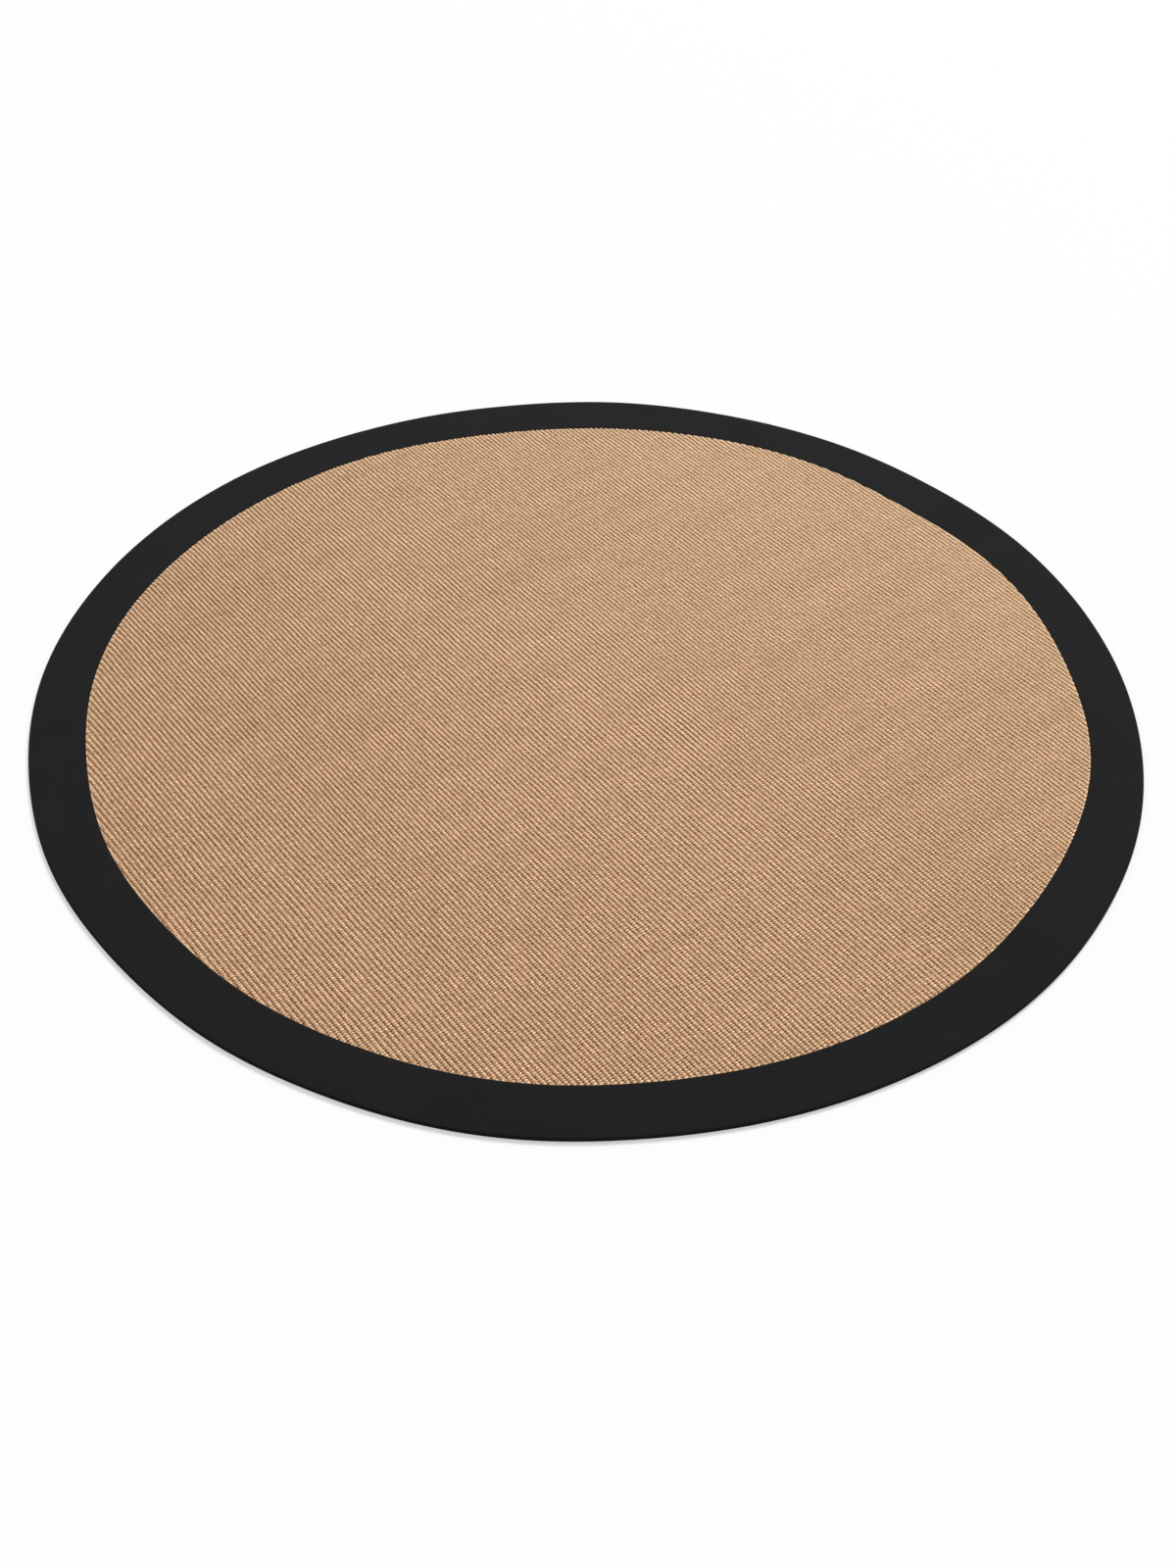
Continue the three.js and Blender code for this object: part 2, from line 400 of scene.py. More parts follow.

# What the loops' colour is made up of. Each value goes from first to last while the noise or the place
# that it follows goes from start to end. A tone multiplies the colour, the contrast the clumps' noise, and
# a depth how strong the painted shade of a gap or a joint is. The rest are shares of a second colour. The
# clumps' pale and dark shares are in part painted highlight and painted shade, stronger away from the
# light.
# The lit side's pale share and the right tone are painted light, and the gap, joint and pit shares painted
# shade.
SISAL = {
    "loop_tone": {"start": 0.0, "end": 1.0, "first": 0.93, "last": 1.07},
    "stretch_tone": {"start": 0.3, "end": 0.7, "first": 0.96, "last": 1.04},
    "row_tone": {"start": 0.3, "end": 0.7, "first": 0.965, "last": 1.035},
    "patch_tone": {"start": 0.3, "end": 0.7, "first": 0.955, "last": 1.045},
    "right_painted_light": {"start": -1.2, "end": 1.2, "first": 0.955, "last": 1.015},
    "outer_tone": {"start": 0.0, "end": 1.0, "first": 1.03, "last": 0.985},
    "fibre_tone": {"start": 0.25, "end": 0.75, "first": 0.86, "last": 1.13},
    "clump_contrast": {"start": -1.1, "end": 1.1, "first": 1.75, "last": 0.75},
    "pale_clump_highlight": {"start": 0.50, "end": 0.85, "first": 0.0, "last": 1.0},
    "pale_lit_side": {"start": -1.1, "end": 1.1, "first": 0.0, "last": 0.19},
    "dark_clump_shade": {"start": 0.50, "end": 0.20, "first": 0.0, "last": 0.8},
    "rosy_stretch": {"start": 0.60, "end": 0.72, "first": 0.0, "last": 0.45},
    "rosy_cloud": {"start": 0.4, "end": 0.7, "first": 0.0, "last": 0.14},
    "rosy_left_side": {"start": 0.0, "end": -1.0, "first": 0.0, "last": 0.15},
    "gap_shade": {"start": 0.50, "end": 1.0, "first": 0.0, "last": 1.0},
    "gap_shade_depth": {"start": 0.3, "end": 0.7, "first": 0.55, "last": 1.0},
    "gap_shade_depth_to_light": {"start": -1.1, "end": 1.1, "first": 0.78, "last": 1.15},
    "joint_shade": {"start": 0.35, "end": 1.0, "first": 0.0, "last": 1.0},
    "joint_shade_depth": {"start": 0.3, "end": 0.7, "first": 0.5, "last": 1.0},
    "joint_shade_depth_to_light": {"start": -1.1, "end": 1.1, "first": 1.1, "last": 0.5},
    "joint_shade_depth_lit_half": {"start": 0.0, "end": 1.0, "first": 1.0, "last": 0.4},
    "pit_across": {"start": 0.45, "end": 0.9, "first": 0.0, "last": 1.0},
    "pit_along": {"start": 0.3, "end": 0.9, "first": 0.0, "last": 1.0},
    "pit_by_luck": {"start": 0.25, "end": 0.8, "first": 0.0, "last": 1.0},
}

# The light comes from +X and, by this share of it, from +Y. The loops' painted light and shade follow this
# way.
LIGHT_SLANT = 0.45


def sisal_noise(s, name, across, along):
    row = SISAL_NOISES[name]
    place = s.vector(s.times(across, row["to_rib"]), s.times(along, row["to_loop"]), row["depth"])
    return s.noise(place, detail=row["detail"])


def sisal_places(s):
    """Where a point is on the rug, in seam radii: towards the light, to the photograph's right, and
    outwards from the middle."""
    x, y, _ = s.parts(s.position())
    seam = SEAM_RADIUS * MM
    to_light = s.over(s.plus(x, s.times(y, LIGHT_SLANT)), seam)
    to_right = s.over(s.minus(x, y), seam)
    outwards = s.over(s.length(s.position()), seam)
    return to_light, to_right, outwards


def sisal_painted_shades(s, across, along, to_light):
    """How much painted shade a point takes at the joint of two loops, in the gap between two ribs, and in
    the pit
    where four loops meet: 0 on a loop's crown, and about 1 at the deepest. It changes with the way to the
    light."""
    rib_edge = s.times(s.size_of(s.off_centre(across)), 2.0)
    loop_edge = s.times(s.size_of(s.off_centre(along)), 2.0)
    nearest_gap = s.floor(s.plus(across, 0.5))

    joint_shade_depth = s.ramp(sisal_noise(s, "joint", across, along), SISAL["joint_shade_depth"])
    joint_shade_depth = s.times(joint_shade_depth, s.ramp(to_light, SISAL["joint_shade_depth_to_light"]))
    joint_shade_depth = s.times(joint_shade_depth, s.ramp(to_light, SISAL["joint_shade_depth_lit_half"]))
    joint_shade = s.times(s.ramp(loop_edge, SISAL["joint_shade"]), joint_shade_depth)

    gap_shade_depth = s.ramp(sisal_noise(s, "gap", nearest_gap, along), SISAL["gap_shade_depth"])
    gap_shade_depth = s.times(gap_shade_depth, s.ramp(to_light, SISAL["gap_shade_depth_to_light"]))
    gap_shade = s.times(s.ramp(rib_edge, SISAL["gap_shade"]), gap_shade_depth)

    luck = s.dice(s.plus(across, 0.5), s.plus(along, 0.5))
    meeting = s.times(s.ramp(rib_edge, SISAL["pit_across"]), s.ramp(loop_edge, SISAL["pit_along"]))
    pit_shade = s.times(meeting, s.ramp(luck, SISAL["pit_by_luck"]))
    return joint_shade, gap_shade, pit_shade


def sisal_material():
    """Straw yarn in loops, with the colour straying by the loop, the rib and the stretch of yarn, and fine
    fibre twisted across each loop. Painted shade, in part the yarn's own darker colour, darkens and
    reddens it down between the loops. Painted highlight and shade lie in its clumps, and painted light
    makes it paler towards the light and the rug's right."""
    s = Shading("sisal_loops", SISAL_FINISH)
    across, along = s.place("loops")
    to_light, to_right, outwards = sisal_places(s)

    strand = s.minus(along, s.times(s.off_centre(across), STRAND_SLANT))
    fibre = sisal_noise(s, "fibre", across, strand)
    # Fibre clumps: in part painted highlight and painted shade, stronger away from the light
    clump = s.minus(sisal_noise(s, "clump", across, along), 0.5)
    clump = s.plus(s.times(clump, s.ramp(to_light, SISAL["clump_contrast"])), 0.5)
    # The pale share also rises towards the light, which is painted light
    pale = s.plus(s.ramp(clump, SISAL["pale_clump_highlight"]), s.ramp(to_light, SISAL["pale_lit_side"]))
    dark = s.ramp(clump, SISAL["dark_clump_shade"])
    rosy = s.ramp(sisal_noise(s, "rosy_stretch", s.floor(across), along), SISAL["rosy_stretch"])
    rosy = s.plus(rosy, s.ramp(s.cloud("rosy_sisal"), SISAL["rosy_cloud"]))
    rosy = s.plus(rosy, s.ramp(to_right, SISAL["rosy_left_side"]))
    joint_shade, gap_shade, pit_shade = sisal_painted_shades(s, across, along, to_light)

    colour = s.mix(rosy, STRAW, ROSY)
    colour = s.mix(pale, colour, PALE_HIGHLIGHT)
    colour = s.mix(dark, colour, UMBER)
    # Painted shade in the joints, gaps and pits; in the gaps in part the yarn's own darker colour too
    colour = s.mix(joint_shade, colour, UMBER)
    colour = s.mix(gap_shade, colour, UMBER)
    colour = s.mix(pit_shade, colour, PIT_SHADE)
    followed = {
        "loop_tone": s.dice(across, along),
        "stretch_tone": sisal_noise(s, "stretch", s.floor(across), along),
        "row_tone": sisal_noise(s, "row", across, s.floor(along)),
        "patch_tone": sisal_noise(s, "patch", across, along),
        # Painted light: a little lighter towards the rug's right
        "right_painted_light": to_right,
        "outer_tone": outwards,
        "fibre_tone": fibre,
    }
    tones = [s.ramp(source, SISAL[name]) for name, source in followed.items()]
    s.paint(s.dimmed(colour, *tones))

    relief = s.times(s.sine(strand, PLIES * 2 * math.pi), SISAL_RELIEF["ply"])
    relief = s.plus(relief, s.times(fibre, SISAL_RELIEF["fibre"]))
    relief = s.plus(relief, s.times(clump, SISAL_RELIEF["clump"]))
    s.bump(relief)
    return s.material


# Black cotton
COTTON_BLACK = (0.0075, 0.0075, 0.0077, 1)
COTTON_FINISH = {
    "Roughness": 0.9,
    "Specular IOR Level": 0.07,
    "Sheen Weight": 0.019,
    "Sheen Roughness": 0.5,
}
SLUB = {"around": 0.05, "across": 0.7, "detail": 3.0}  # cells of its noise to a thread
COTTON_RELIEF = {"weave": 0.06, "slub": 0.10}
COTTON = {
    "slub_tone": {"start": 0.3, "end": 0.7, "first": 0.88, "last": 1.12},
    "dye_tone": {"start": 0.3, "end": 0.7, "first": 0.92, "last": 1.08},
    "weave_tone": {"start": -1.0, "end": 1.0, "first": 0.85, "last": 1.1},
}


def cotton_material():
    """Black plain-woven cotton: threads over and under, some thicker than others, and uneven dye."""
    s = Shading("black_cotton_tape", COTTON_FINISH)
    around, across = s.place("threads")
    weave = s.times(s.sine(around, math.pi), s.sine(across, math.pi))
    thread = s.vector(s.times(around, SLUB["around"]), s.times(across, SLUB["across"]))
    slub = s.noise(thread, detail=SLUB["detail"])
    tone = s.times(s.ramp(slub, COTTON["slub_tone"]), s.ramp(s.cloud("cotton_dye"), COTTON["dye_tone"]))
    tone = s.times(tone, s.ramp(weave, COTTON["weave_tone"]))
    s.paint(s.dimmed(COTTON_BLACK, tone))
    s.bump(s.plus(s.times(weave, COTTON_RELIEF["weave"]), s.times(slub, COTTON_RELIEF["slub"])))
    return s.material


# The jute ground
JUTE_FINISH = {"Roughness": 0.95, "Specular IOR Level": 0.1}
JUTE_TONE = {"start": 0.3, "end": 0.7, "first": 0.8, "last": 1.2}
JUTE_RELIEF = 0.5


def ground_material():
    """The cloth's ground under the loops, grainy jute that is seen only down between the yarns."""
    s = Shading("sisal_ground_weave", JUTE_FINISH)
    grain = s.cloud("jute_grain")
    s.paint(s.dimmed(UMBER, s.ramp(grain, JUTE_TONE)))
    s.bump(s.times(grain, JUTE_RELIEF))
    return s.material


# Latex
LATEX_CREAM = (0.52, 0.45, 0.34, 1)
LATEX_FINISH = {"Roughness": 0.7, "Specular IOR Level": 0.35}
LATEX_RELIEF = {"print": 0.35, "pores": 0.25}
LATEX = {
    "cloud_tone": {"start": 0.3, "end": 0.7, "first": 0.92, "last": 1.08},
    "print_tone": {"start": 0.0, "end": 1.0, "first": 0.9, "last": 1.04},
    "pore_tone": {"start": 0.3, "end": 0.6, "first": 0.9, "last": 1.02},
}


def latex_material():
    """Natural latex spread thinly on the cloth's back, with its rows printed through and small pores."""
    s = Shading("latex_back", LATEX_FINISH)
    x, y, _ = s.parts(s.position())
    rows = s.size_of(s.sine(s.over(x, RIB_PITCH * MM), math.pi))
    knots = s.size_of(s.sine(s.over(y, LOOP_LENGTH * MM), math.pi))
    print_through = s.times(rows, knots)
    pores = s.cloud("latex_pores")
    tone = s.ramp(s.cloud("latex_clouds"), LATEX["cloud_tone"])
    tone = s.times(tone, s.ramp(print_through, LATEX["print_tone"]))
    tone = s.times(tone, s.ramp(pores, LATEX["pore_tone"]))
    s.paint(s.dimmed(LATEX_CREAM, tone))
    s.bump(s.plus(s.times(print_through, LATEX_RELIEF["print"]), s.times(pores, LATEX_RELIEF["pores"])))
    return s.material


# The floor's paper
PAPER_GREY = (0.346, 0.346, 0.346, 1)
PAPER_GREY_PALER = (0.349, 0.349, 0.349, 1)
PAPER_FINISH = {
    "Roughness": 0.9,
    "Specular IOR Level": 0.1,
    "Emission Color": (1, 1, 1, 1),
    "Emission Strength": 0.49,
}


def floor_material():
    """White paper on a light table: half of its light is its own glow, so that shadows on it stay pale."""
    s = Shading("pale_floor", PAPER_FINISH)
    s.paint(s.mix(s.cloud("paper_grain"), PAPER_GREY, PAPER_GREY_PALER))
    return s.material


# The ribs of yarn loops


def loop_points():
    """Points of the whole field of loops, on a grid of columns across the ribs and rows along them, with
    two rows to a loop. Also each point's place counted in ribs and loops, and how far inside the seam
    it is."""
    section = {key: np.array([row[key] for row in LOOP_SECTION]) for key in LOOP_SECTION[0]}
    ribs = 2 * math.ceil(RUG_RADIUS / RIB_PITCH)
    loops = 2 * math.ceil(RUG_RADIUS / LOOP_LENGTH)
    columns = np.arange(len(LOOP_SECTION) * ribs + 1)
    rows = np.arange(2 * loops + 1)
    rib, part = np.divmod(columns, len(LOOP_SECTION))
    across = rib + section["across"][part]
    x = np.repeat(spaced((across - ribs / 2) * RIB_PITCH)[:, None], len(rows), 1)
    y = ((rows / 2 - loops / 2)[None, :] + section["lean"][part][:, None]) * LOOP_LENGTH
    x, y = (
        x + strayed("sideways_together", x, y) + strayed("sideways_alone", x, y),
        y + strayed("along_together", x, y) + strayed("along_alone", x, y),
    )
    is_middle = (rows % 2 == 1)[None, :]
    z = np.where(is_middle, section["middle"][part][:, None], section["joint"][part][:, None])
    z = z + strayed("height_together", x, y) + strayed("height_alone", x, y)
    own = rng.uniform(-1, 1, (len(LOOP_SPREAD), ribs + 1, len(rows)))[:, rib]
    x = x + LOOP_SPREAD["sideways"] * own[0]
    y = y + LOOP_SPREAD["along"] * own[1]
    z = z + LOOP_SPREAD["height"] * own[2]
    pits = (rng.random(z.shape) < PIT_SHARE) & (part == 0)[:, None] & ~is_middle
    z = z - PIT_DEPTH * pits

    # Down to the tape at the seam, and flat beneath it
    inside = at_angle(seam_radii, np.arctan2(y, x)) - np.hypot(x, y)
    free = soft_step(np.clip((inside + SEAM_PRESS_START) / SEAM_PRESS_LENGTH, 0, 1))
    z = TUCKED_TOP + (z - TUCKED_TOP) * free
    grid = np.stack([x, y, z], -1)
    places = np.stack(np.broadcast_arrays(across[:, None], rows[None, :] / 2), -1)
    return grid, places, inside


def slopes(grid, axis, creased, steeper):
    """The surface's direction along one axis of the grid, for the faces after each point and for those
    before it. The two are one, but at creased points each is that of its own side, and steeper."""
    step = np.diff(grid, axis=axis)
    edge = [(0, 0), (0, 0), (0, 0)]
    after, before = edge.copy(), edge.copy()
    after[axis] = (0, 1)
    before[axis] = (1, 0)
    step_after = np.pad(step, after, mode="edge")
    step_before = np.pad(step, before, mode="edge")
    through = step_after + step_before
    creased = np.expand_dims(creased, (1 - axis, 2))
    steepening = np.array([1, 1, steeper])
    return (
        np.where(creased, step_after * steepening, through),
        np.where(creased, step_before * steepening, through),
    )


def corner_normals(grid):
    """Each face's four corner normals, in the order of its corners in loop_faces. They round the loops,
    with a crease in the gap between two ribs and at the joint of two loops."""
    gap_shade = np.arange(grid.shape[0]) % len(LOOP_SECTION) == 0
    at_joint = np.arange(grid.shape[1]) % 2 == 0
    across_after, across_before = slopes(grid, 0, gap_shade, GAP_STEEPER)
    along_after, along_before = slopes(grid, 1, at_joint, JOINT_STEEPER)
    low, high = slice(None, -1), slice(1, None)
    normals = np.stack(
        [
            np.cross(across_after[low, low], along_after[low, low]),
            np.cross(across_before[high, low], along_after[high, low]),
            np.cross(across_before[high, high], along_before[high, high]),
            np.cross(across_after[low, high], along_before[low, high]),
        ],
        -2,
    )
    return normals / np.linalg.norm(normals, axis=-1, keepdims=True)


def loop_faces(shape, kept):
    """Four-cornered faces between neighbouring columns and rows, where all four corners are kept."""
    index = np.arange(shape[0] * shape[1]).reshape(shape)
    quads = np.stack([index[:-1, :-1], index[1:, :-1], index[1:, 1:], index[:-1, 1:]], -1)
    whole = kept.ravel()[quads].all(-1)
    return quads[whole], whole


def outer_ring(faces):
    """The points round the edge of a patch of faces, in order, anticlockwise from above."""
    a = faces.ravel()
    b = np.roll(faces, -1, 1).ravel()
    count = int(faces.max()) + 1
    forward = a.astype(np.int64) * count + b
    backward = b.astype(np.int64) * count + a
    open_edges = ~np.isin(forward, backward)
    follows = dict(zip(a[open_edges].tolist(), b[open_edges].tolist()))
    start = next(iter(follows))
    ring = [start]
    while follows[ring[-1]] != start:
        ring.append(follows[ring[-1]])
    if len(ring) != len(follows):
        raise RuntimeError("a patch of loops has more than one edge")
    return np.array(ring)


def folded_map(places, centres, low, high, folds):
    """A long patch cut into folds lengths that lie side by side. Gives each corner's place, in
    millimetres, and the whole map's width and height."""
    width = high[0] - low[0] + 2 * BAKE_MARGIN
    height = (high[1] - low[1]) / folds + 2 * BAKE_MARGIN
    fold = np.clip((centres - low[1]) // ((high[1] - low[1]) / folds), 0, folds - 1)
    u = places[:, 0] - low[0] + BAKE_MARGIN + fold * width
    v = places[:, 1] - low[1] + BAKE_MARGIN - fold * (high[1] - low[1]) / folds
    return np.stack([u, v], -1), width * folds, height


def rib_band(name, grid, places, quads, normals, material):
    """One band of ribs: the loops' top, a skirt round it and a flat bottom on the ground."""
    used, faces = np.unique(quads, return_inverse=True)
    faces = faces.reshape(quads.shape)
    top = grid[used]
    top_places = places[used]
    ring = outer_ring(faces)
    bottom = top[ring].copy()
    bottom[:, 2] = BAND_BOTTOM
    first = len(top)
    low_ring = first + np.arange(len(ring))
    following = np.roll(np.arange(len(ring)), -1)
    skirt = np.stack([low_ring, low_ring[following], ring[following], ring], -1)
    points = np.concatenate([top, bottom])
    corners = np.concatenate([faces.ravel(), skirt.ravel(), low_ring[::-1]])
    sizes = np.concatenate([np.full(len(faces) + len(skirt), 4), [len(ring)]])

    # Loop places: the skirt carries on from the ring, and the bottom is one even tone
    loops = np.concatenate([top_places, top_places[ring]])[corners]
    loops[-len(ring):] = BOTTOM_PLACE

    # Bake places: the skirt is laid out flat round the top, the bottom goes small beside it
    along = top[ring[following], :2] - top[ring, :2]
    outward = np.stack([along[:, 1], -along[:, 0]], -1)
    outward /= np.linalg.norm(outward, axis=1, keepdims=True) + NO_LENGTH
    spread = outward * (top[ring, 2] - BAND_BOTTOM)[:, None]
    flat = np.concatenate([top[:, :2], top[ring, :2] + spread])
    top_corners = len(faces) * 4 + len(skirt) * 4
    low, high = flat.min(0), flat.max(0)
    centres = flat[corners[:top_corners], 1].reshape(-1, 4).mean(1).repeat(4)
    folds = max(1, round(math.sqrt((high[1] - low[1]) / (high[0] - low[0]))))
    baked, width, height = folded_map(flat[corners[:top_corners]], centres, low, high, folds)
    small = (bottom[::-1, :2] - low) * BOTTOM_SHRINK + (width + BAKE_MARGIN, BAKE_MARGIN)
    width = width + (high[0] - low[0]) * BOTTOM_SHRINK + 2 * BAKE_MARGIN
    baked = np.concatenate([baked, small]) / (width, height)
    maps = {"loops": loops, "OFBake": baked}
    piece = new_piece(name, points, corners, sizes, maps, material, "sisal")

    sideways = np.concatenate([outward, np.zeros((len(ring), 1))], -1).repeat(4, axis=0)
    downwards = np.tile((0.0, 0.0, -1.0), (len(ring), 1))
    piece.data.normals_split_custom_set(np.concatenate([normals.reshape(-1, 3), sideways, downwards]))
    return piece


def rib_rows(material):
    grid, places, inside = loop_points()
    shape = inside.shape
    quads, whole = loop_faces(shape, inside > -TUCKED_IN)
    normals = corner_normals(grid)[whole]

    # The outermost kept points move out to the outline itself
    points = grid.reshape(-1, 3).copy()
    flat_inside = inside.ravel()
    uses = np.bincount(quads.ravel(), minlength=len(points))
    on_edge = (uses > 0) & (uses < 4)
    angle = np.arctan2(points[on_edge, 1], points[on_edge, 0])
    radius = np.hypot(points[on_edge, 0], points[on_edge, 1])
    stretch = (radius + flat_inside[on_edge] + TUCKED_IN) / radius
    points[on_edge, :2] *= stretch[:, None]
    points[on_edge, 2] = TUCKED_TOP

    rib_of_quad = quads[:, 0] // shape[1] // len(LOOP_SECTION)
    per_rib = np.bincount(rib_of_quad)
    share = np.cumsum(per_rib) / len(quads)
    band_of_rib = np.minimum((share * BAND_COUNT).astype(int), BAND_COUNT - 1)
    flat_places = places.reshape(-1, 2)
    bands = []
    for band in range(BAND_COUNT):
        chosen = band_of_rib[rib_of_quad] == band
        name = f"sisal_rows_{band + 1}"
        bands.append(rib_band(name, points, flat_places, quads[chosen], normals[chosen], material))
    return bands


# Turned pieces: the ground, the latex back and the tape


def round_points(radius, angles, z):
    """Points at the radii and heights given, one row to each angle."""
    return np.stack([radius * np.cos(angles)[:, None], radius * np.sin(angles)[:, None], z], -1)


def turned_faces(profile_count, sectors, closed):
    """Faces between neighbouring points of a profile and neighbouring sectors, pointing outwards for a
    profile that runs anticlockwise round its section seen with the axis on the left. Also each face's
    sector and its step along the profile."""
    steps = profile_count if closed else profile_count - 1
    p = np.arange(steps)[None, :]
    k = np.arange(sectors)[:, None]
    after_p = (p + 1) % profile_count
    after_k = (k + 1) % sectors
    quads = np.stack(
        np.broadcast_arrays(
            k * profile_count + p,
            after_k * profile_count + p,
            after_k * profile_count + after_p,
            k * profile_count + after_p,
        ),
        -1,
    )
    sector = np.broadcast_to(k, quads.shape[:2]).ravel()
    step = np.broadcast_to(p, quads.shape[:2]).ravel()
    return quads.reshape(-1, 4), sector, step


def path_length(profile):
    steps = np.hypot(*np.diff(profile, axis=0).T)
    return np.concatenate([[0], np.cumsum(steps)])


def arc(centre, radius, start_deg, end_deg, steps):
    angles = np.radians(np.linspace(start_deg, end_deg, steps + 1))
    return [(centre[0] + radius * math.cos(a), centre[1] + radius * math.sin(a)) for a in angles]


DISC_SECTORS = 360
DISC_MAP_REACH = 1.01  # half of a disc's side on its bake map, over the radius of the circle in it


def disc_piece(name, profile, material, slot):
    """A flat round body. Its profile runs from the axis at the bottom out to the rim and back to the axis
    at the top, and each face of it is mapped as a circle of its own."""
    profile = np.array(profile, float)
    angles = round_angles(DISC_SECTORS)
    ring_profile = profile[1:-1]
    radius = pulled(ring_profile[None, :, 0], angles[:, None])
    z = np.broadcast_to(ring_profile[None, :, 1], radius.shape)
    rings = round_points(radius, angles, z).reshape(-1, 3)
    points = np.concatenate([rings, [[0, 0, profile[0, 1]], [0, 0, profile[-1, 1]]]])
    count = len(ring_profile)
    quads, _, step = turned_faces(count, DISC_SECTORS, closed=False)
    k = np.arange(DISC_SECTORS)
    after = (k + 1) % DISC_SECTORS
    low_pole = np.full(DISC_SECTORS, len(points) - 2)
    high_pole = np.full(DISC_SECTORS, len(points) - 1)
    low_fan = np.stack([low_pole, after * count, k * count], -1)
    high_fan = np.stack([high_pole, k * count + count - 1, after * count + count - 1], -1)
    corners = np.concatenate([quads.ravel(), low_fan.ravel(), high_fan.ravel()])
    sizes = np.concatenate([np.full(len(quads), 4), np.full(2 * DISC_SECTORS, 3)])

    # Each point's distance from the middle of its own circle, counted along the profile
    from_low = path_length(profile)
    from_high = from_low[-1] - from_low
    turn = np.stack([np.cos(angles), np.sin(angles)], -1)
    low_ring = (turn[:, None, :] * from_low[None, 1:-1, None]).reshape(-1, 2)
    high_ring = (turn[:, None, :] * from_high[None, 1:-1, None]).reshape(-1, 2)
    poles = np.zeros((2, 2))
    low_map = np.concatenate([low_ring, poles])
    high_map = np.concatenate([high_ring, poles])
    rim_step = int(np.argmax(ring_profile[:, 0]))
    low_faces = np.zeros(DISC_SECTORS, bool)
    face_is_high = np.concatenate([step >= rim_step, low_faces, ~low_faces])
    corner_is_high = face_is_high.repeat(sizes)[:, None]
    reach = DISC_MAP_REACH * max(from_low[rim_step + 2], from_high[rim_step + 1])
    flat = np.where(corner_is_high, high_map[corners], low_map[corners] * (1, -1))
    baked = (flat / reach + 1) / 2
    baked[:, 0] = (baked[:, 0] + corner_is_high[:, 0]) / 2
    return new_piece(name, points, corners, sizes, {"OFBake": baked}, material, slot)


# How finely the fold at the rim is cut, on the tape's outer skin and on all that lies within it
OUTER_FOLD_STEPS = 12
INNER_FOLD_STEPS = 8

# Where the cloth's section turns: it rises over the tape's turned-under edge, and under the tape on the
# face it ends its flange and goes down to the loops' ground
RISE_OVER_EDGE = 1.0
FLANGE_FROM_SEAM = 4.0
GROUND_FROM_SEAM = 2.5

LATEX_ROUNDING = 0.3  # of its lower edge
LATEX_PARTING = 0.02  # below the ground, so that the two don't share a plane


def sisal_ground(material):
    bottom = LATEX_THICKNESS
    profile = [(0, bottom), (SEAM_RADIUS, bottom), (UNDER_RADIUS - PARTING, bottom)]
    profile += [(UNDER_RADIUS + RISE_OVER_EDGE, FOLD_RADIUS - FLANGE_RADIUS)]
    profile += arc((FOLD_AXIS, FOLD_RADIUS), FLANGE_RADIUS, -90, 90, INNER_FOLD_STEPS)
    profile += [(SEAM_RADIUS + FLANGE_FROM_SEAM, FLANGE_TOP), (SEAM_RADIUS + GROUND_FROM_SEAM, GROUND_TOP)]
    profile += [(0, GROUND_TOP)]
    return disc_piece("sisal_ground", profile, material, "sisal")


def latex_back(material):
    edge = UNDER_RADIUS - PARTING
    top = LATEX_THICKNESS - LATEX_PARTING
    profile = [(0, 0), (edge / 2, 0), (edge - LATEX_ROUNDING, 0), (edge, LATEX_ROUNDING), (edge, top)]
    profile += [(0, top)]
    return disc_piece("latex_back", profile, material, "latex_back")


TAPE_SECTORS = 720
TAPE_FOLDS = 5  # rows that the tape's bake map is cut into
TAPE_MAP_MARGIN = 0.02  # round each row, as a share of it
THREAD_PITCH = 0.7

# The tape's edges: its turned-under one is bevelled, and beyond each edge its section has a point more
BEVEL_START = 0.1
BEVEL_END = 0.4
BEVEL_HEIGHT = 0.25
NEXT_POINT_BELOW = 12.0
NEXT_POINT_INSIDE = 20.0

# The tape's top from the rim's fold to the seam: how far inside the fold's axis, and how far below its
# full height
TAPE_CROWN = [
    {"inwards": 6.0, "sunk": -0.10},
    {"inwards": 14.0, "sunk": -0.12},
    {"inwards": 26.0, "sunk": -0.05},
    {"inwards": 40.0, "sunk": 0.02},
    {"inwards": 54.0, "sunk": 0.12},
    {"inwards": 64.0, "sunk": 0.20},
    {"inwards": 69.0, "sunk": 0.28},
    {"inwards": 70.8, "sunk": 0.38},
    {"inwards": 71.7, "sunk": 0.62},
    {"inwards": 72.0, "sunk": 0.95},
]

# The face isn't quite flat. It swells softly here and there, and puckers a little at the seam. Both are
# soft noises, with so many cells round the rug, and fade where the tape's ends meet.
SWELL = {"height": 0.10, "cells_round": 90, "across": 40.0}
PUCKER = {"height": 0.12, "cells_round": 300, "across": 14.0}
RISE_PER_RADIAN = 20  # of the two, from where the ends meet up to their full height


